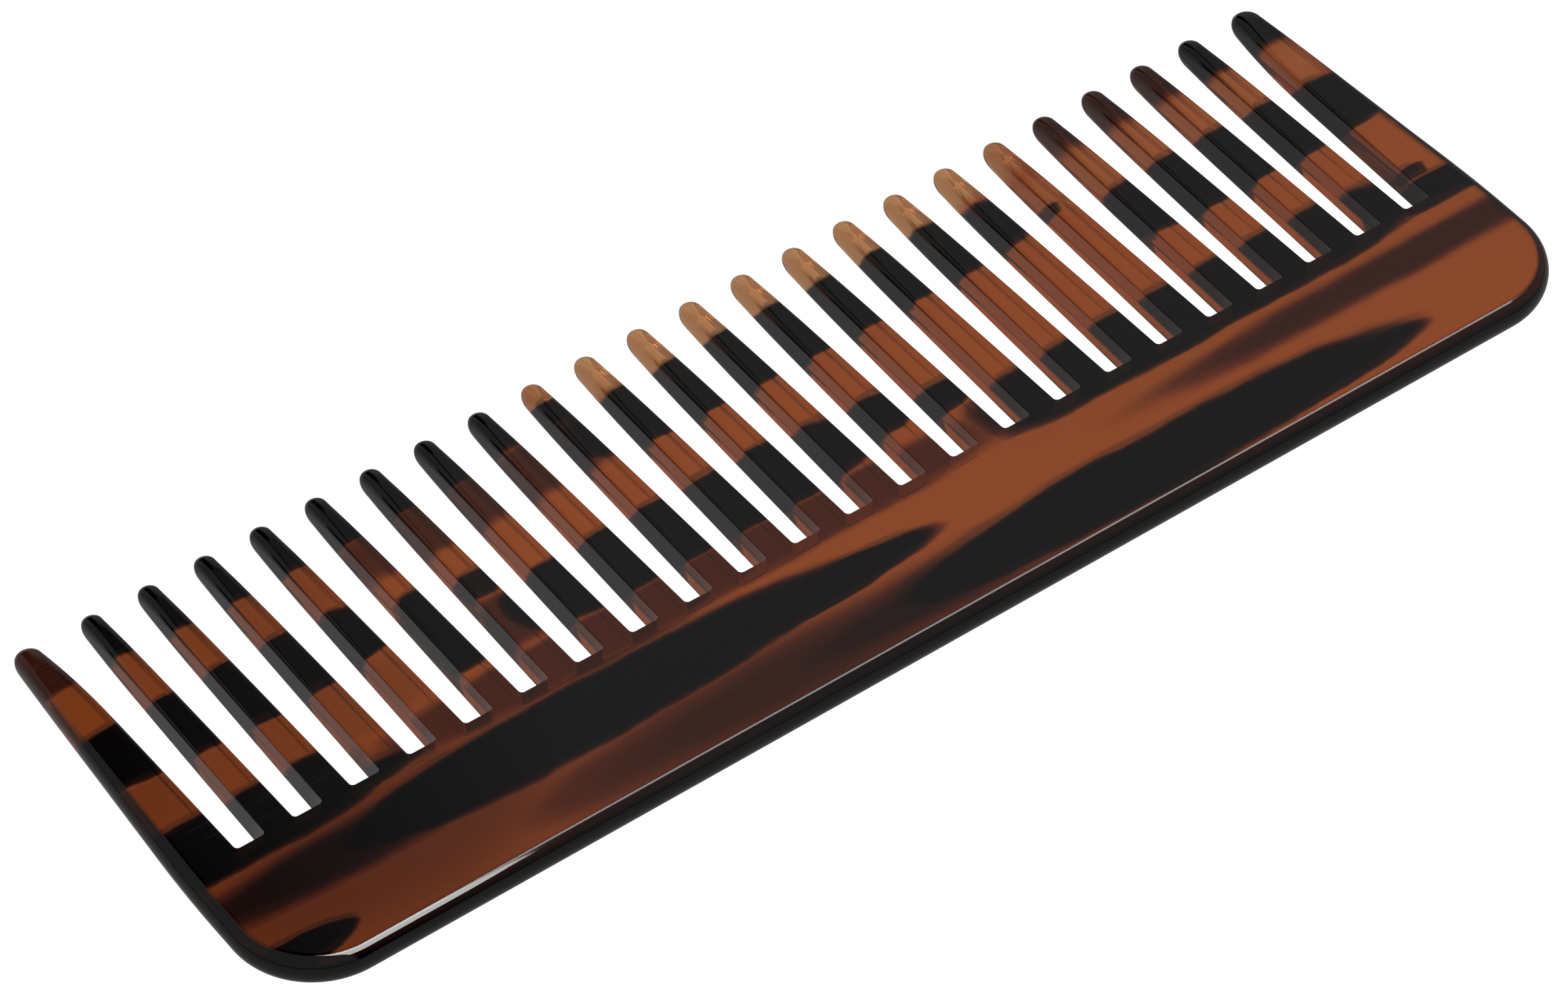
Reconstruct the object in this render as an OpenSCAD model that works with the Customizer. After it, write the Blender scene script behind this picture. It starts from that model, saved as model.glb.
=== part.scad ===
// Wide-tooth dressing comb, sawn and polished from one flat sheet of cellulose acetate.
// It lies flat: X runs along the comb, Y towards the tooth tips and Z up from its underside.
// The origin is on the underside, at the middle of the comb's length and depth.
// The comb is one solid piece. It is drawn here as its back and its teeth, each region in its own
// node, and the regions meet face to face at the bottoms of the gaps.

/* [Sheet] */
// Thickness of the sheet
thickness = 4; // [3:0.5:5]

/* [Back] */
// Depth of the back, from its edge to the bottoms of the gaps
back_depth = 20.5; // [16:0.5:30]
// Radius of the two back corners, seen from above
corner_r = 11; // [6:0.5:13]

/* [Teeth] */
// Number of inner teeth, between the two end teeth
inner_teeth = 22; // [14:2:26]
// Distance from one tooth to the next
pitch = 7.5; // [6:0.25:9]
// Length of a tooth, from the bottom of a gap to the tip
tooth_len = 39.8; // [30:0.1:50]
// Width of a gap at its bottom
gap_w = 3.8; // [2.8:0.1:4.5]
// Radius in the two corners at the bottom of a gap
gap_corner_r = 0.5; // [0.2:0.1:1]
// Width of an inner tooth where its round tip starts
tip_w = 2.4; // [1.6:0.1:3]

/* [End teeth] */
// Width of an end tooth along the line of the gap bottoms
end_tooth_w = 7; // [5:0.1:8]
// Width of an end tooth where its round tip starts
end_tip_w = 3.2; // [2.4:0.1:3.6]
// Length of the curve that narrows the inner side of an end tooth towards its tip
end_curve_len = 16; // [10:1:24]
// Angle by which the outer side of an end tooth leans in towards its tip
end_lean = 3.75; // [0:0.25:4]

/* [Tooth edges] */
// Clearance of a tooth's round nose from the two faces of the sheet, seen from the side
nose_edge_clearance = 0.1; // [0.05:0.05:1]
// Clearance of a tooth's rounding cone from its four edges at the root
root_edge_clearance = 0.1; // [0.05:0.05:0.5]

/* [Hidden] */
$fn = 64;
reach = 300;                                // longer than any size of the comb
spare = 1;                                  // how far a cutting shape runs past what it cuts
mid_z = thickness / 2;
nose_r = thickness / 2 + nose_edge_clearance;        // round nose of a tooth, seen from the side
comb_depth = back_depth + tooth_len;
edge_y = -comb_depth / 2;                   // the back edge
root_y = edge_y + back_depth;               // the bottoms of the gaps
tip_y = root_y + tooth_len;
root_w = pitch - gap_w;                     // width of an inner tooth at its root
end_gap_x = (inner_teeth + 1) / 2 * pitch - pitch / 2 + gap_w / 2;   // outer wall of the last gap
end_x = end_gap_x + end_tooth_w;            // end of the back, and outer side of an end tooth's root
corner_x = end_x - corner_r;
corner_y = edge_y + corner_r;
end_nose_r = end_tip_w / 2;
end_nose_y = tip_y - end_nose_r;
end_nose_overshoot = 0.2;                   // how far the nose's circle runs past the comb's end
end_nose_x = side_x(end_nose_y) - end_nose_r + end_nose_overshoot;
curve_y = tip_y - end_curve_len;            // where the inner side of an end tooth starts to curve
curve_steps = 8;

// Outer side of the right end tooth.
function side_x(y) = end_x - (y - root_y) * tan(end_lean);

// Inner side of the right end tooth: it follows the slope of the gap and then curves outwards.
function gap_side_x(y) = end_gap_x + (root_w - tip_w) / 2 * (y - root_y) / tooth_len;
function curve_share(y) = pow(max(0, y - curve_y) / (end_nose_y - curve_y), 2);
function inner_side_x(y) =
    gap_side_x(y) + curve_share(y) * (end_nose_x - end_nose_r - gap_side_x(end_nose_y));

inner_names = [for (i = [1 : inner_teeth]) str("tooth_", i < 10 ? "0" : "", i)];

// Section of the sheet with one polished, fully round edge, w deep from x = 0 to that edge.
module edge_section(w) {
    square([w - thickness / 2, thickness]);
    translate([w - thickness / 2, mid_z]) circle(r = thickness / 2);
}

// Band of sheet that runs along Y from the origin, with its round edge at x = w.
module edge_band(w, length) {
    translate([0, length, 0]) rotate([90, 0, 0]) linear_extrude(length) edge_section(w);
}

module back_middle() {
    translate([-corner_x, root_y, 0]) rotate([0, 0, -90])
        edge_band(back_depth, 2 * corner_x);
}

// Right end of the back: its round corner, turned from the same section, and the straight end above.
module back_end() {
    translate([corner_x, corner_y, 0]) {
        rotate([0, 0, -90]) rotate_extrude(angle = 90) edge_section(corner_r);
        edge_band(corner_r, root_y - corner_y);
    }
}

module back() {
    color([0.42, 0.2, 0.11])
    union() {
        back_middle();
        back_end();
        mirror([1, 0, 0]) back_end();
    }
}

// Foot that widens a wall into a round corner at the bottom of a gap. It stands on y = 0, with the
// wall at x = 0 and the gap on the side of positive x.
module gap_corner() {
    difference() {
        translate([-root_w / 4, 0]) square([root_w / 4 + gap_corner_r, gap_corner_r]);
        translate([gap_corner_r, gap_corner_r]) circle(r = gap_corner_r);
    }
}

// Outline of an inner tooth, from its root at y = 0 to its tip.
module tooth_outline() {
    shoulder = tooth_len - tip_w / 2;
    polygon([[-root_w / 2, 0], [root_w / 2, 0], [tip_w / 2, shoulder], [-tip_w / 2, shoulder]]);
    translate([0, shoulder]) circle(r = tip_w / 2);
    for (side = [0, 1]) mirror([side, 0]) translate([root_w / 2, 0]) gap_corner();
}

// Bullet that takes the edges off a tooth: half of its section, turned about the tooth's length.
module rounding_bullet() {
    root_r = norm([root_w / 2 + gap_corner_r, thickness / 2]) + root_edge_clearance;
    shoulder = tooth_len - nose_r;
    translate([0, 0, mid_z]) rotate([-90, 0, 0])
        rotate_extrude() intersection() {
            union() {
                polygon([[0, -spare], [root_r, -spare], [nose_r, shoulder], [0, shoulder]]);
                translate([0, shoulder]) circle(r = nose_r);
            }
            translate([0, -spare]) square([reach, reach]);
        }
}

module inner_tooth(i) {
    shade = i % 2 == 0 ? [0.16, 0.1, 0.08] : [0.5, 0.25, 0.13];
    color(shade)
    translate([(i - (inner_teeth + 1) / 2) * pitch, root_y, 0]) intersection() {
        linear_extrude(thickness) tooth_outline();
        rounding_bullet();
    }
}

// Outline of the right end tooth. Its outer side runs past the leaning band, which cuts it.
module end_outline() {
    outer_x = end_nose_x + end_nose_r;
    curve = [for (k = [curve_steps : -1 : 0])
        let (y = curve_y + (end_nose_y - curve_y) * k / curve_steps) [inner_side_x(y), y]];
    polygon(concat([[end_gap_x, root_y], [end_x + spare, root_y], [outer_x, end_nose_y]], curve));
    translate([end_nose_x, end_nose_y]) circle(r = end_nose_r);
    translate([end_gap_x, root_y]) mirror([1, 0]) gap_corner();
}

// Side view of a tooth with its round nose, as deep as the comb is long.
module nose_side_view() {
    rotate([90, 0, 90]) translate([0, 0, -reach / 2]) linear_extrude(reach) {
        translate([root_y, -spare]) square([tooth_len - nose_r, thickness + 2 * spare]);
        translate([tip_y - nose_r, mid_z]) circle(r = nose_r);
    }
}

// Band of sheet whose round edge is the outer side of the right end tooth.
module leaning_band() {
    w = 2 * end_tooth_w;
    translate([end_x, root_y, 0]) rotate([0, 0, end_lean]) translate([-w, -spare, 0])
        edge_band(w, tooth_len + 2 * spare);
}

module end_tooth() {
    color([0.3, 0.15, 0.1])
    intersection() {
        leaning_band();
        translate([0, 0, -spare]) linear_extrude(thickness + 2 * spare) end_outline();
        nose_side_view();
    }
}

module end_tooth_left() {
    mirror([1, 0, 0]) end_tooth();
}

module end_tooth_right() {
    end_tooth();
}

back();
end_tooth_left();
for (i = [1 : inner_teeth]) {
    inner_tooth(i);
}
end_tooth_right();
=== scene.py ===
"""Looks of a wide-tooth dressing comb, polished from one sheet of translucent tortoiseshell acetate.

The comb is one continuous closed mesh. It is built from the comb's outline seen from above, whose
sizes come from the frame, and from the rounding that each place on that outline was polished to.
Lengths in the shape and in the pattern are millimetres, and the mesh is scaled to metres at the end.
"""
import math
from collections import namedtuple

import bpy
from mathutils import Matrix, Vector
from mathutils.geometry import delaunay_2d_cdt


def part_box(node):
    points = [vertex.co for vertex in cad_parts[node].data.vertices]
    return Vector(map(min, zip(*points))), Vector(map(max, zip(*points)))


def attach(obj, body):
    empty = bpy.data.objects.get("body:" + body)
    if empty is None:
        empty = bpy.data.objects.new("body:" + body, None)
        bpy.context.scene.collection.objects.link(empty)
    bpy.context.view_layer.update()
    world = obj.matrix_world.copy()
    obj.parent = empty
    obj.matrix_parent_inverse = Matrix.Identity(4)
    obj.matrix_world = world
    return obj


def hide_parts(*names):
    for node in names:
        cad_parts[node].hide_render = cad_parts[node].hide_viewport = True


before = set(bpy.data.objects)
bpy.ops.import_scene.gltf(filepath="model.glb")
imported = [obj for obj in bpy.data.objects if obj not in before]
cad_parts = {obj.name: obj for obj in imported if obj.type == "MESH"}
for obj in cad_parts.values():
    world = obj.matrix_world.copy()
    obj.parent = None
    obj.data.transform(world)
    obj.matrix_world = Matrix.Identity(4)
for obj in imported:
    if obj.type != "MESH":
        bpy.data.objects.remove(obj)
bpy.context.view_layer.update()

MM = 0.001

# ---------------------------------------------------------------- sizes

# Sizes that the frame gives.
back_low, back_high = (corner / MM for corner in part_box("back"))
TOOTH_NODES = sorted(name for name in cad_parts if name.startswith("tooth_"))
tooth_boxes = [[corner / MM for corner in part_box(name)] for name in TOOTH_NODES]
TOOTH_CENTRES = [(low.x + high.x) / 2 for low, high in tooth_boxes]

THICKNESS = back_high.z
EDGE_Y = back_low.y
ROOT_Y = back_high.y
END_X = back_high.x
TIP_Y = tooth_boxes[0][1].y

# Sizes inside the outline, as in the part's source.
CORNER_R = 11
GAP_CORNER_R = 0.5
TIP_W = 2.4
END_TIP_W = 3.2
END_TOOTH_W = 7
END_CURVE_LEN = 16
END_LEAN = math.radians(3.75)

TOOTH_LEN = TIP_Y - ROOT_Y
ROOT_W = tooth_boxes[0][1].x - tooth_boxes[0][0].x - 2 * GAP_CORNER_R
GAP_END_X = END_X - END_TOOTH_W             # outer wall of the last gap

# Polish. Between a face and the middle of a wall the section follows two arcs: a tight one next to
# the face and a wide one down the wall. "Inset" is its size in plan, and "drop" its size in height.
FACE_ARC_R = 1.6
WALL_ARC_R = 2.5
FULL_DROP = THICKNESS / 2 - 0.04
ARC_MEET = math.acos((THICKNESS / 2 - FACE_ARC_R) / (WALL_ARC_R - FACE_ARC_R))
EDGE_INSET = FACE_ARC_R * math.sin(ARC_MEET) + WALL_ARC_R * (1 - math.sin(ARC_MEET))
FACE_ARC_STEPS = 8
WALL_ARC_STEPS = 4
HOLD = 0.05                                 # width of the ring that keeps the flat faces flat
WALL_HOLD = 0.06                            # where a ring keeps the walls upright, as a share of them

# How far the edges of a tooth are rounded: at the gap bottoms, in plan and in height at the tip,
# and how far short of the nose the flat face ends.
Polish = namedtuple("Polish", "root inset drop nose_pull")
TOP = Polish(root=0.12, inset=0.8, drop=1.8, nose_pull=2.8)
UNDERSIDE = Polish(root=0.18, inset=1.05, drop=2, nose_pull=3)

# How late these grow along a tooth, as powers of the share of its length.
INSET_POWER = 1.5
DROP_POWER = 1.3
TIP_DROP_POWER = 8
PULL_FROM = 0.7                             # share of a tooth's length where the flat face draws back

# The outer sides of the end teeth bend from upright to leaning between this far below and this far
# above the line of the gap bottoms. From that line up, their rounding slowly turns into the tip's.
END_BEND = 6
END_BLEND_LEN = TOOTH_LEN - 4
RIM_SHADE_FADE_POWER = 3                          # how late the painted shade on the rim fades over that length

# Share of the rounding, counted from a flat face outwards, over which the outer edge is painted dark as
# shade.
TOP_SHADE = (0, 0.25)
UNDERSIDE_SHADE = (0.5, 0.9)

# Steps along the curves.
BACK_CORNER_STEPS = 28
GAP_CORNER_STEPS = 5
NOSE_STEPS = 16
INNER_TOOTH_LEVELS = 14
END_LEVELS = 22

# A place on the comb's outline, the edge of the flat face next to it, and how far the rounding
# between them goes down. Its last field is 1 where the place belongs to the comb's outer edge, which is
# painted dark as shade.
Rim = namedtuple("Rim", "x y inner_x inner_y drop rim")


def mix(a, b, share):
    return a + (b - a) * share


def smooth(low, high, value):
    """0 below low, 1 above high, and a smooth step between."""
    t = min(1, max(0, (value - low) / (high - low)))
    return t * t * (3 - 2 * t)


# ---------------------------------------------------------------- outline

def arc(centre, radius, start, stop, steps, inner_centre, inner_radius, drop, rim=0):
    """Rim points on an arc, angles in degrees, with the flat face's edge on an arc of its own."""
    points = []
    for k in range(steps + 1):
        angle = math.radians(mix(start, stop, k / steps))
        c, s = math.cos(angle), math.sin(angle)
        points.append(Rim(centre[0] + radius * c, centre[1] + radius * s,
                          inner_centre[0] + inner_radius * c, inner_centre[1] + inner_radius * s,
                          drop, rim))
    return points


def tooth_round(share, polish):
    """Inset, drop and pull of a tooth's edge at a share of its length from the root."""
    inset = mix(polish.root, polish.inset, share ** INSET_POWER)
    wall_drop = mix(polish.root, 1, polish.inset)
    drop = mix(polish.root, wall_drop, share ** DROP_POWER)
    drop += (polish.drop - wall_drop) * share ** TIP_DROP_POWER
    return inset, drop, polish.nose_pull * smooth(PULL_FROM, 1, share)


def gap_corner(wall_x, side, polish):
    """Round corner at the bottom of a gap, from the bottom to the wall of the tooth on that side."""
    centre = (wall_x - side * GAP_CORNER_R, ROOT_Y + GAP_CORNER_R)
    return arc(centre, GAP_CORNER_R, 270, 360 if side > 0 else 180, GAP_CORNER_STEPS,
               centre, GAP_CORNER_R + polish.root, polish.root)


def inner_tooth(centre_x, polish):
    """One inner tooth, from the gap on its right to the gap on its left."""
    nose_r = TIP_W / 2
    shoulder = TIP_Y - nose_r
    wall = []
    for k in range(INNER_TOOTH_LEVELS):
        y = mix(ROOT_Y + GAP_CORNER_R, shoulder, k / INNER_TOOTH_LEVELS)
        share = (y - ROOT_Y) / (shoulder - ROOT_Y)
        half = mix(ROOT_W, TIP_W, share) / 2
        inset, drop, pull = tooth_round(share, polish)
        wall.append((half, half - inset, y, y - pull, drop))
    right = [Rim(centre_x + half, y, centre_x + inner, inner_y, drop, 0)
             for half, inner, y, inner_y, drop in wall]
    left = [Rim(centre_x - half, y, centre_x - inner, inner_y, drop, 0)
            for half, inner, y, inner_y, drop in reversed(wall)]
    nose = arc((centre_x, shoulder), nose_r, 0, 180, NOSE_STEPS,
               (centre_x, shoulder - polish.nose_pull), nose_r - polish.inset, polish.drop)
    foot = gap_corner(centre_x + ROOT_W / 2, -1, polish)[:-1]
    other_foot = gap_corner(centre_x - ROOT_W / 2, 1, polish)[:-1]
    return foot + right + nose + left + other_foot[::-1]


def end_side_x(y):
    """Outer side of the right end tooth and of the back's end: upright, then leaning in."""
    past = y - ROOT_Y
    if past <= -END_BEND:
        return END_X
    if past >= END_BEND:
        return END_X - past * math.tan(END_LEAN)
    return END_X - (past + END_BEND) ** 2 / (4 * END_BEND) * math.tan(END_LEAN)


def right_end(polish):
    """The right end: from the back's round corner up the outer side, and down to the last gap."""
    nose_r = END_TIP_W / 2
    nose_y = TIP_Y - nose_r
    nose_x = END_X - (nose_y - ROOT_Y) * math.tan(END_LEAN) - nose_r / math.cos(END_LEAN)
    corner = (END_X - CORNER_R, EDGE_Y + CORNER_R)
    outer = arc(corner, CORNER_R, 270, 360, BACK_CORNER_STEPS, corner, CORNER_R - EDGE_INSET,
                FULL_DROP, rim=1)
    nose_low = nose_y + nose_r * math.sin(END_LEAN)
    for k in range(1, END_LEVELS):
        y = mix(EDGE_Y + CORNER_R, nose_low, k / END_LEVELS)
        blend = smooth(0, END_BLEND_LEN, y - ROOT_Y)
        inset = mix(EDGE_INSET, polish.inset, blend)
        pull = polish.nose_pull * smooth(PULL_FROM, 1, (y - ROOT_Y) / TOOTH_LEN)
        lean = END_LEAN * smooth(-END_BEND, END_BEND, y - ROOT_Y)
        x = end_side_x(y)
        outer.append(Rim(x, y, x - inset * math.cos(lean), y - inset * math.sin(lean) - pull,
                         mix(FULL_DROP, polish.drop, blend), 1 - blend ** RIM_SHADE_FADE_POWER))
    nose_end = 174                          # angle where the nose meets the bowed inner side
    nose = arc((nose_x, nose_y), nose_r, math.degrees(END_LEAN), nose_end, NOSE_STEPS,
               (nose_x, nose_y - polish.nose_pull), nose_r - polish.inset, polish.drop)
    inner = []
    top = nose[-1]
    curve_y = TIP_Y - END_CURVE_LEN
    slope = (ROOT_W - TIP_W) / 2 / TOOTH_LEN
    for k in range(1, END_LEVELS + 1):
        y = mix(top.y, ROOT_Y + GAP_CORNER_R, k / END_LEVELS)
        share = (y - ROOT_Y) / (top.y - ROOT_Y)
        bow = max(0, (y - curve_y) / (top.y - curve_y)) ** 2
        x = GAP_END_X + slope * (y - ROOT_Y)
        x += bow * (top.x - GAP_END_X - slope * (top.y - ROOT_Y))
        inset, drop, pull = tooth_round(share, polish)
        inner.append(Rim(x, y, x + inset, y - pull, drop, 0))
    foot = gap_corner(GAP_END_X, 1, polish)[:-1]
    return outer + nose + inner + foot[::-1]


def mirrored(points):
    """The same points on the other side of the comb's middle, in reverse order."""
    return [p._replace(x=-p.x, inner_x=-p.inner_x) for p in reversed(points)]


def comb_outline(polish):
    """The whole outline, counter-clockwise, starting at the right end of the back edge."""
    right = right_end(polish)
    outline = list(right)
    for centre_x in sorted(TOOTH_CENTRES, reverse=True):
        outline += inner_tooth(centre_x, polish)
    outline += mirrored(right)
    return outline


# ---------------------------------------------------------------- mesh

def edge_profile():
    """(share of the inset, share of the drop) from the middle of a wall to the face above it."""
    points = []
    for k in range(WALL_ARC_STEPS):
        angle = mix(math.pi / 2, ARC_MEET, k / WALL_ARC_STEPS)
        points.append((WALL_ARC_R * (1 - math.sin(angle)), WALL_ARC_R * math.cos(angle)))
    for k in range(FACE_ARC_STEPS + 1):
        angle = mix(ARC_MEET, 0, k / FACE_ARC_STEPS)
        points.append((EDGE_INSET - FACE_ARC_R * math.sin(angle),
                       THICKNESS / 2 - FACE_ARC_R * (1 - math.cos(angle))))
    return [(inset / EDGE_INSET, rise / (THICKNESS / 2)) for inset, rise in points]


def rings(outline, other, shade_range):
    """Closed rings from the edge of a flat face down to the wall, with the other face's outline.

    Each ring is a list of (x, y, depth below the face, painted shade of the rim).
    """
    first = []
    for p in outline:
        inwards = Vector((p.inner_x - p.x, p.inner_y - p.y)).normalized() * HOLD
        first.append((p.inner_x + inwards.x, p.inner_y + inwards.y, 0, 0))
    levels = [first]
    for inset_share, rise in reversed(edge_profile()):
        shade = smooth(*shade_range, 1 - inset_share)
        levels.append([(mix(p.x, p.inner_x, inset_share), mix(p.y, p.inner_y, inset_share),
                        p.drop * (1 - rise), p.rim * shade) for p in outline])
    levels.append([(p.x, p.y, mix(p.drop, THICKNESS - q.drop, WALL_HOLD), p.rim)
                   for p, q in zip(outline, other)])
    return levels


def face_fill(ring, spacing=2.5):
    """Triangles that fill the flat face inside a ring. Grid points inside it keep them well shaped.

    A corner is either the number of a ring point or the (x, y) of a grid point.
    """
    count = len(ring)
    flat = [Vector((x, y)) for x, y, *_ in ring]
    margin = EDGE_INSET + spacing / 2
    columns = int((END_X - CORNER_R) / spacing)
    for i in range(-columns, columns + 1):
        for j in range(int((ROOT_Y - EDGE_Y - 2 * margin) / spacing) + 1):
            flat.append(Vector((i * spacing, EDGE_Y + margin + j * spacing)))
    edges = [(k, (k + 1) % count) for k in range(count)]
    inside_only, merge_below = 1, 1e-6
    vertices, _, triangles, origins, _, _ = delaunay_2d_cdt(flat, edges, [], inside_only, merge_below)
    names = [source[0] if source and source[0] < count else tuple(vertices[k])
             for k, source in enumerate(origins)]
    return [[names[k] for k in triangle] for triangle in triangles]


def comb_mesh():
    """The closed mesh: rings from the top face over the walls to the underside, and the two faces."""
    upper, lower = comb_outline(TOP), comb_outline(UNDERSIDE)
    top = rings(upper, lower, TOP_SHADE)
    underside = rings(lower, upper, UNDERSIDE_SHADE)
    count = len(top[0])
    vertices, shades, faces = [], [], []
    for level in top:
        vertices += [(x, y, THICKNESS - depth) for x, y, depth, _ in level]
        shades += [shade for *_, shade in level]
    for level in reversed(underside):
        vertices += [(x, y, depth) for x, y, depth, _ in level]
        shades += [shade for *_, shade in level]
    for level in range(len(top) + len(underside) - 1):
        high, low = level * count, (level + 1) * count
        for k in range(count):
            after = (k + 1) % count
            faces.append((high + k, low + k, low + after, high + after))
    last = (len(top) + len(underside) - 1) * count
    for ring, first, height in ((top[0], 0, THICKNESS), (underside[0], last, 0)):
        place = {}
        for triangle in face_fill(ring):
            corners = []
            for name in triangle:
                if isinstance(name, int):
                    corners.append(first + name)
                    continue
                if name not in place:
                    place[name] = len(vertices)
                    vertices.append((name[0], name[1], height))
                    shades.append(0)
                corners.append(place[name])
            faces.append(corners if height else corners[::-1])
    mesh = bpy.data.meshes.new("comb")
    mesh.from_pydata(vertices, [], faces)
    mesh.transform(Matrix.Scale(MM, 4))
    mesh.attributes.new("rim", "FLOAT", "POINT").data.foreach_set("value", shades)
    mesh.shade_smooth()
    return mesh


# ---------------------------------------------------------------- material

# Streaks of the sheet: (middle x, middle y, half length, half width, softness, depth).
# Blocks are the short dark ones that cross the teeth, and lenses the long ones with pointed ends.
BLOCKS = [
    (-54, 26.5, 32, 5.6, 0.15, 1), (68, 27.5, 17, 5, 0.5, 0.6), (87, 28, 15, 5.8, 0.3, 1),
    (-18.5, 24, 4, 2, 0.2, 1), (12, 17.7, 33, 4.9, 0.12, 1), (-18.5, 20, 4.5, 4, 0.3, 0.75),
    (-34, 17.5, 18, 4, 0.5, 0.5), (-88, 26, 5, 5, 0.2, 0.6), (-75, 17.5, 22, 5, 0.4, 0.12),
    (-75, 0, 22, 5, 0.4, 0.15), (-73, 9, 20, 4.8, 0.12, 1), (71.5, 9.6, 20.5, 5, 0.12, 1),
    (47.2, 15.6, 1.3, 0.9, 0.6, 0.9), (-48.7, 3.5, 2.6, 6.8, 0.12, 1), (-41.5, 6.6, 2.2, 2, 0.3, 0.9),
    (-17, 0.2, 25, 4.9, 0.12, 1), (-42, 0, 6, 4, 0.5, 0.5), (9.7, 0.8, 3.2, 3, 0.2, 1),
    (18, -1.4, 3, 2.2, 0.3, 1), (-88, 1, 5, 3.5, 0.3, 0.2), (-82, -7.8, 16, 4.7, 0.2, 1),
    (86, -8.9, 8, 2.2, 0.3, 1), (85.5, -5.3, 1.8, 0.9, 0.4, 0.8),
]
LENSES = [
    (-74, -9.6, 14, 2, 0.2, 1), (-42, -16.7, 36, 4.7, 0.12, 1), (-21, -17.4, 26, 2.7, 0.08, 1),
    (-72, -17, 26, 3.6, 0.5, 0.85), (76, -16.2, 36, 2.3, 0.4, 0.6), (30, -24.5, 37, 4.4, 0.1, 1),
    (44, -25.3, 26.5, 3, 0.08, 1), (2, -25.2, 34, 3.6, 0.6, 0.7), (-86.5, -25.9, 7.2, 1.9, 0.12, 1),
    (-20, -25.5, 36, 4.2, 0.6, 0.6), (-72, -19, 30, 12, 0.6, 0.3),
]
# Dark blocks that are missing from a layer deep in the sheet, and blocks where the amber is paler.
SKIN_BLOCKS = [(-22, -8.2, 42, 3.4, 0.35, 0.45), (50.5, -7.4, 31.5, 4.9, 0.15, 1)]
PALE_BLOCKS = [(15, 28, 34, 6, 0.4, 1), (68, 18, 24, 3.5, 0.5, 0.15)]

# Above and below that layer: the depth at which those dark blocks are gone, and the depth at which
# they are full.
SKIN_ABOVE = (2.6, 2.0)
SKIN_BELOW = (3.7, 3.9)

# The streaks lie aslant in the sheet, and their edges waver.
LEAN = (-0.3, -0.6, 0.0)                    # shift for each millimetre of depth
WAVER_GRAIN = (0.1, 0.25, 0.25)             # waves per millimetre
WAVER_SIZE = (3.0, 1.6, 0.0)                # in millimetres

# Tint of the amber, from clear through two browns to the dark streaks, and of the paler amber.
AMBER = (0.64, 0.17, 0.04, 1)
BROWNS = ((0.35, (0.19, 0.045, 0.018, 1)), (0.7, (0.03, 0.009, 0.006, 1)))
NEARLY_BLACK = (0.002, 0.001, 0.001, 1)
PALE_AMBER = (1, 0.56, 0.26, 1)
# How far the painted shade darkens the base colour of the rim.
RIM_PAINTED_SHADE = 0.99
INSIDE = (0.86, 0.79, 0.73, 1)              # about what a millimetre of the sheet lets through
INSIDE_DENSITY = 1 / MM

# Rubbing marks: grain of the marks and of their patches, in waves per millimetre, and how strong a
# mark must be to change the roughness from polished to rubbed.
MARK_GRAIN = (0.16, 3.5, 0.5)
PATCH_GRAIN = (0.03, 0.07, 0.07)
MARK_RANGE = (0.3, 0.42)
POLISHED, RUBBED = 0.03, 0.2


class Nodes:
    """Short ways to add nodes to a tree and link them."""

    def __init__(self, tree):
        self.tree = tree

    def add(self, kind, inputs=None, **settings):
        node = self.tree.nodes.new(kind)
        for name, value in settings.items():
            setattr(node, name, value)
        for key, value in (inputs or {}).items():
            if isinstance(value, bpy.types.NodeSocket):
                self.tree.links.new(value, node.inputs[key])
            else:
                node.inputs[key].default_value = value
        return node

    def math(self, operation, a, b=0.0):
        return self.add("ShaderNodeMath", {0: a, 1: b}, operation=operation).outputs[0]

    def vector(self, operation, a, b=(0, 0, 0)):
        node = self.add("ShaderNodeVectorMath", {0: a, 1: b}, operation=operation)
        return node.outputs["Value" if operation == "LENGTH" else "Vector"]

    def mix_value(self, share, a, b):
        return self.add("ShaderNodeMix", {"Factor": share, "A": a, "B": b}).outputs["Result"]

    def ramp(self, value, start, stop, low=0.0, high=1.0):
        """Straight ramp from low, where the value is start, to high, where it is stop."""
        return self.add("ShaderNodeMapRange", {"Value": value, "From Min": start, "From Max": stop,
                                               "To Min": low, "To Max": high}).outputs["Result"]


def streak_group(name, squared):
    """Node group: how dark a streak is at a place. A squared one has blunt ends."""
    tree = bpy.data.node_groups.new(name, "ShaderNodeTree")
    face = tree.interface
    face.new_socket("Place", in_out="INPUT", socket_type="NodeSocketVector")
    for label in ("Middle", "Half Size"):
        face.new_socket(label, in_out="INPUT", socket_type="NodeSocketVector")
    for label in ("Softness", "Depth"):
        face.new_socket(label, in_out="INPUT", socket_type="NodeSocketFloat")
    face.new_socket("Dark", in_out="OUTPUT", socket_type="NodeSocketFloat")
    nodes = Nodes(tree)
    given = nodes.add("NodeGroupInput").outputs
    placed = nodes.vector("SUBTRACT", given["Place"], given["Middle"])
    scaled = nodes.vector("DIVIDE", placed, given["Half Size"])
    if squared:
        scaled = nodes.vector("MULTIPLY", scaled, scaled)
    reach = nodes.vector("LENGTH", scaled)
    low = nodes.math("ADD", 1.0, given["Softness"])
    high = nodes.math("SUBTRACT", 1.0, given["Softness"])
    dark = nodes.add("ShaderNodeMapRange", {"Value": reach, "From Min": low, "From Max": high,
                                            "To Min": 0.0, "To Max": given["Depth"]},
                     interpolation_type="SMOOTHSTEP").outputs["Result"]
    nodes.add("NodeGroupOutput", {"Dark": dark})
    return tree


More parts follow.
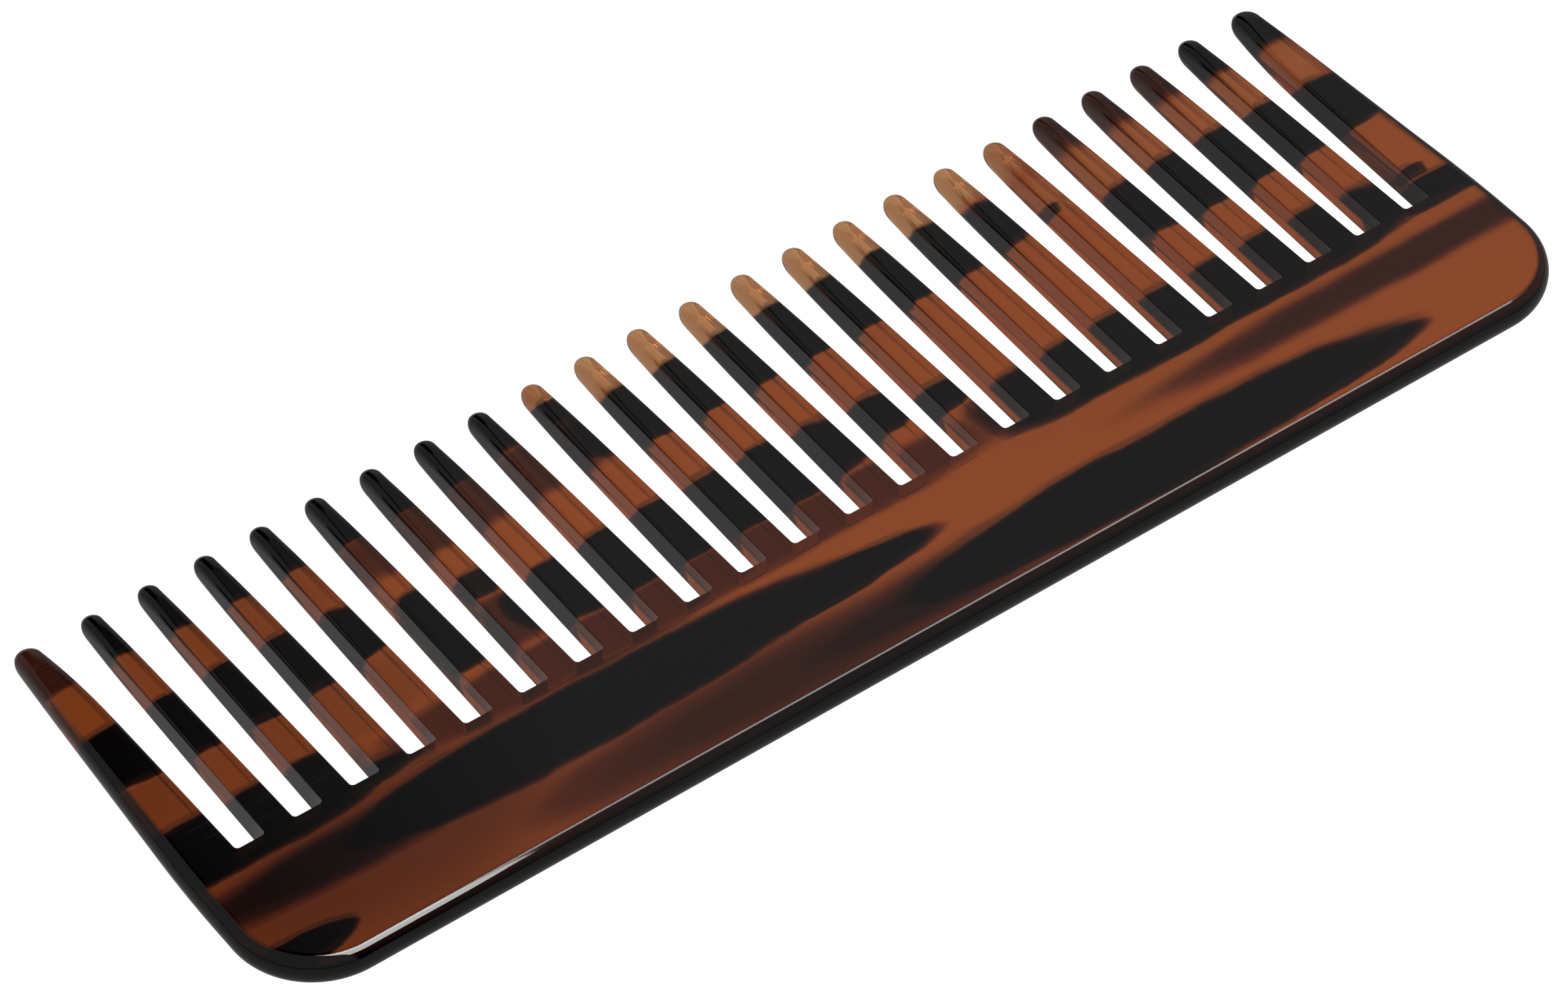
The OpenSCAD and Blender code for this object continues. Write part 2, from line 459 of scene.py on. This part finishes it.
def tortoiseshell():
    """Translucent acetate: an amber body with dark streaks, polished to a gloss."""
    material = bpy.data.materials.new("tortoiseshell_acetate")
    material.use_nodes = True
    tree = material.node_tree
    tree.nodes.clear()
    nodes = Nodes(tree)
    metres = nodes.add("ShaderNodeTexCoord").outputs["Object"]
    place = nodes.vector("MULTIPLY", metres, (1 / MM,) * 3)

    split = nodes.add("ShaderNodeSeparateXYZ", {0: place})
    depth = nodes.math("SUBTRACT", THICKNESS, split.outputs["Z"])
    both = nodes.add("ShaderNodeCombineXYZ", {0: depth, 1: depth}).outputs[0]
    place = nodes.vector("ADD", place, nodes.vector("MULTIPLY", both, LEAN))

    stretched = nodes.vector("MULTIPLY", place, WAVER_GRAIN)
    waver = nodes.add("ShaderNodeTexNoise", {"Vector": stretched, "Scale": 1.0, "Detail": 3.0})
    centred = nodes.vector("SUBTRACT", waver.outputs["Color"], (0.5,) * 3)
    shift = nodes.vector("MULTIPLY", centred, WAVER_SIZE)
    warped = nodes.vector("MULTIPLY", nodes.vector("ADD", place, shift), (1, 1, 0))

    skin = nodes.math("MAXIMUM", nodes.ramp(depth, *SKIN_ABOVE), nodes.ramp(depth, *SKIN_BELOW))
    block, lens = streak_group("block", True), streak_group("lens", False)

    def deepest(found, group, streaks, cover=1.0):
        """The darkest of what is found already and of some streaks, which may be partly covered."""
        for x, y, half_length, half_width, softness, depth in streaks:
            one = nodes.add("ShaderNodeGroup", node_tree=group)
            tree.links.new(warped, one.inputs["Place"])
            one.inputs["Middle"].default_value = (x, y, 0)
            one.inputs["Half Size"].default_value = (half_length, half_width, 1)
            one.inputs["Softness"].default_value = softness
            one.inputs["Depth"].default_value = depth
            found = nodes.math("MAXIMUM", found, nodes.math("MULTIPLY", one.outputs["Dark"], cover))
        return found

    dark = deepest(deepest(deepest(0.0, block, BLOCKS), block, SKIN_BLOCKS, skin), lens, LENSES)
    pale = nodes.math("MULTIPLY", deepest(0.0, block, PALE_BLOCKS), nodes.math("SUBTRACT", 1.0, dark))

    tint = nodes.add("ShaderNodeValToRGB", {"Fac": dark})
    stops = tint.color_ramp.elements
    stops[0].color = AMBER
    stops[1].color = NEARLY_BLACK
    for at, brown in BROWNS:
        stops.new(at).color = brown

    # Painted shade: the round outer edge's base colour is darkened nearly to black, in place of the dark
    # that the long way through the edge makes.
    rim = nodes.add("ShaderNodeAttribute", attribute_name="rim").outputs["Fac"]
    clear = nodes.math("SUBTRACT", 1.0, nodes.math("MULTIPLY", rim, RIM_PAINTED_SHADE))
    first_colour, second_colour, mixed_colour = 6, 7, 2     # the colour sockets of a Mix node
    amber = nodes.add("ShaderNodeMix", {"Factor": pale, second_colour: PALE_AMBER}, data_type="RGBA")
    tree.links.new(tint.outputs["Color"], amber.inputs[first_colour])
    colour = nodes.vector("MULTIPLY", amber.outputs[mixed_colour],
                          nodes.add("ShaderNodeCombineXYZ", {0: clear, 1: clear, 2: clear}).outputs[0])

    # Long faint rubbing marks from the polishing.
    rubbed = nodes.add("ShaderNodeTexNoise", {
        "Vector": nodes.vector("MULTIPLY", place, MARK_GRAIN), "Scale": 1.0, "Detail": 2.0})
    patch = nodes.add("ShaderNodeTexNoise", {
        "Vector": nodes.vector("MULTIPLY", place, PATCH_GRAIN), "Scale": 1.0})
    marks = nodes.math("MULTIPLY", rubbed.outputs["Fac"], patch.outputs["Fac"])
    roughness = nodes.ramp(marks, *MARK_RANGE, POLISHED, RUBBED)

    shader = nodes.add("ShaderNodeBsdfPrincipled", {
        "Base Color": colour, "Roughness": roughness, "IOR": 1.49, "Transmission Weight": 0.85})
    inside = nodes.add("ShaderNodeVolumeAbsorption", {"Color": INSIDE, "Density": INSIDE_DENSITY})
    nodes.add("ShaderNodeOutputMaterial", {"Surface": shader.outputs[0], "Volume": inside.outputs[0]})
    return material


# ---------------------------------------------------------------- stage

# Strength of the table and of the sky for light that comes through the comb, and for light that its
# surface reflects. The camera sees the table at full strength.
TABLE_THROUGH, TABLE_REFLECTED, TABLE_SEEN = 0.55, 0.3, 1.0
SKY_THROUGH, SKY_REFLECTED = 0.9, 0.3
TABLE_HALF_SIZE = 4
TABLE_GAP = 0.0001                          # clearance between the table and the comb, in metres

# Where the reflected sky is dark, as parts of a direction of length 1.
HORIZON = 0.15                              # height at which it reaches its full strength
BAND_X = 0.2                                # middle of the dark band overhead
BAND_EDGE = (0.09, 0.16)                    # how far from its middle the band ends


def floor():
    """Pale table. The camera sees it pure white, as a product picture's background is."""
    size = TABLE_HALF_SIZE
    mesh = bpy.data.meshes.new("floor")
    mesh.from_pydata([(-size, -size, 0), (size, -size, 0), (size, size, 0), (-size, size, 0)], [],
                     [(0, 1, 2, 3)])
    table = bpy.data.objects.new("floor", mesh)
    table.location.z = -TABLE_GAP
    bpy.context.scene.collection.objects.link(table)
    material = bpy.data.materials.new("table")
    material.use_nodes = True
    tree = material.node_tree
    tree.nodes.clear()
    nodes = Nodes(tree)
    path = nodes.add("ShaderNodeLightPath").outputs
    unseen = nodes.mix_value(path["Is Transmission Ray"], TABLE_REFLECTED, TABLE_THROUGH)
    strength = nodes.mix_value(path["Is Camera Ray"], unseen, TABLE_SEEN)
    glow = nodes.add("ShaderNodeEmission", {"Color": (1, 1, 1, 1), "Strength": strength})
    nodes.add("ShaderNodeOutputMaterial", {"Surface": glow.outputs[0]})
    mesh.materials.append(material)


def softbox(name, direction, distance, size, watts):
    """Area light that faces the comb from a direction. Distance and size are in metres."""
    data = bpy.data.lights.new(name, "AREA")
    data.shape = "RECTANGLE"
    data.size, data.size_y = size
    data.energy = watts
    lamp = bpy.data.objects.new(name, data)
    towards = Vector(direction).normalized()
    side = Vector((1, 0, 0))
    side = (side - towards * side.dot(towards)).normalized()
    axes = Matrix((side, towards.cross(side), towards)).transposed().to_4x4()
    lamp.matrix_world = Matrix.Translation(towards * distance) @ axes
    bpy.context.scene.collection.objects.link(lamp)


def studio():
    """Pale sky that is dark near the horizon and in one band overhead, and two softboxes."""
    world = bpy.data.worlds.new("studio")
    bpy.context.scene.world = world
    world.use_nodes = True
    nodes = Nodes(world.node_tree)
    path = nodes.add("ShaderNodeLightPath").outputs
    towards = nodes.add("ShaderNodeSeparateXYZ", {
        0: nodes.add("ShaderNodeTexCoord").outputs["Generated"]}).outputs
    above_horizon = nodes.ramp(towards["Z"], 0.0, HORIZON, 0.0, SKY_REFLECTED)
    off_band = nodes.math("ABSOLUTE", nodes.math("SUBTRACT", towards["X"], BAND_X))
    sky = nodes.math("MULTIPLY", above_horizon, nodes.ramp(off_band, *BAND_EDGE))
    background = world.node_tree.nodes["Background"]
    background.inputs["Color"].default_value = (1, 1, 1, 1)
    world.node_tree.links.new(nodes.mix_value(path["Is Transmission Ray"], sky, SKY_THROUGH),
                              background.inputs["Strength"])
    softbox("overhead", direction=(0.306, 0.104, 0.946), distance=1.44, size=(0.82, 0.35), watts=5)
    softbox("left_overhead", direction=(0.16, -0.2, 0.95), distance=1.44, size=(0.4, 1.0), watts=14)
    bpy.context.scene.view_settings.view_transform = "Standard"


def camera():
    """Long lens from the front left, at the picture's angle and with its slight roll."""
    azimuth, elevation, roll = (math.radians(a) for a in (-35.71, 46.66, 0.9))
    distance = 0.7247
    target = Vector((-0.0065, -0.0038, 0.0049))
    back = Vector((math.sin(azimuth) * math.cos(elevation), -math.cos(azimuth) * math.cos(elevation),
                   math.sin(elevation)))
    data = bpy.data.cameras.new("camera")
    data.sensor_width = 36
    data.lens = 146.7
    view = bpy.data.objects.new("camera", data)
    turn = back.to_track_quat("Z", "Y").to_matrix().to_4x4()
    view.matrix_world = Matrix.Translation(target + back * distance) @ turn @ Matrix.Rotation(-roll, 4, "Z")
    bpy.context.scene.collection.objects.link(view)
    bpy.context.scene.camera = view


# ---------------------------------------------------------------- scene

camera()
floor()
studio()

comb = bpy.data.objects.new("comb", comb_mesh())
bpy.context.scene.collection.objects.link(comb)
comb.data.materials.append(tortoiseshell())
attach(comb, "root")
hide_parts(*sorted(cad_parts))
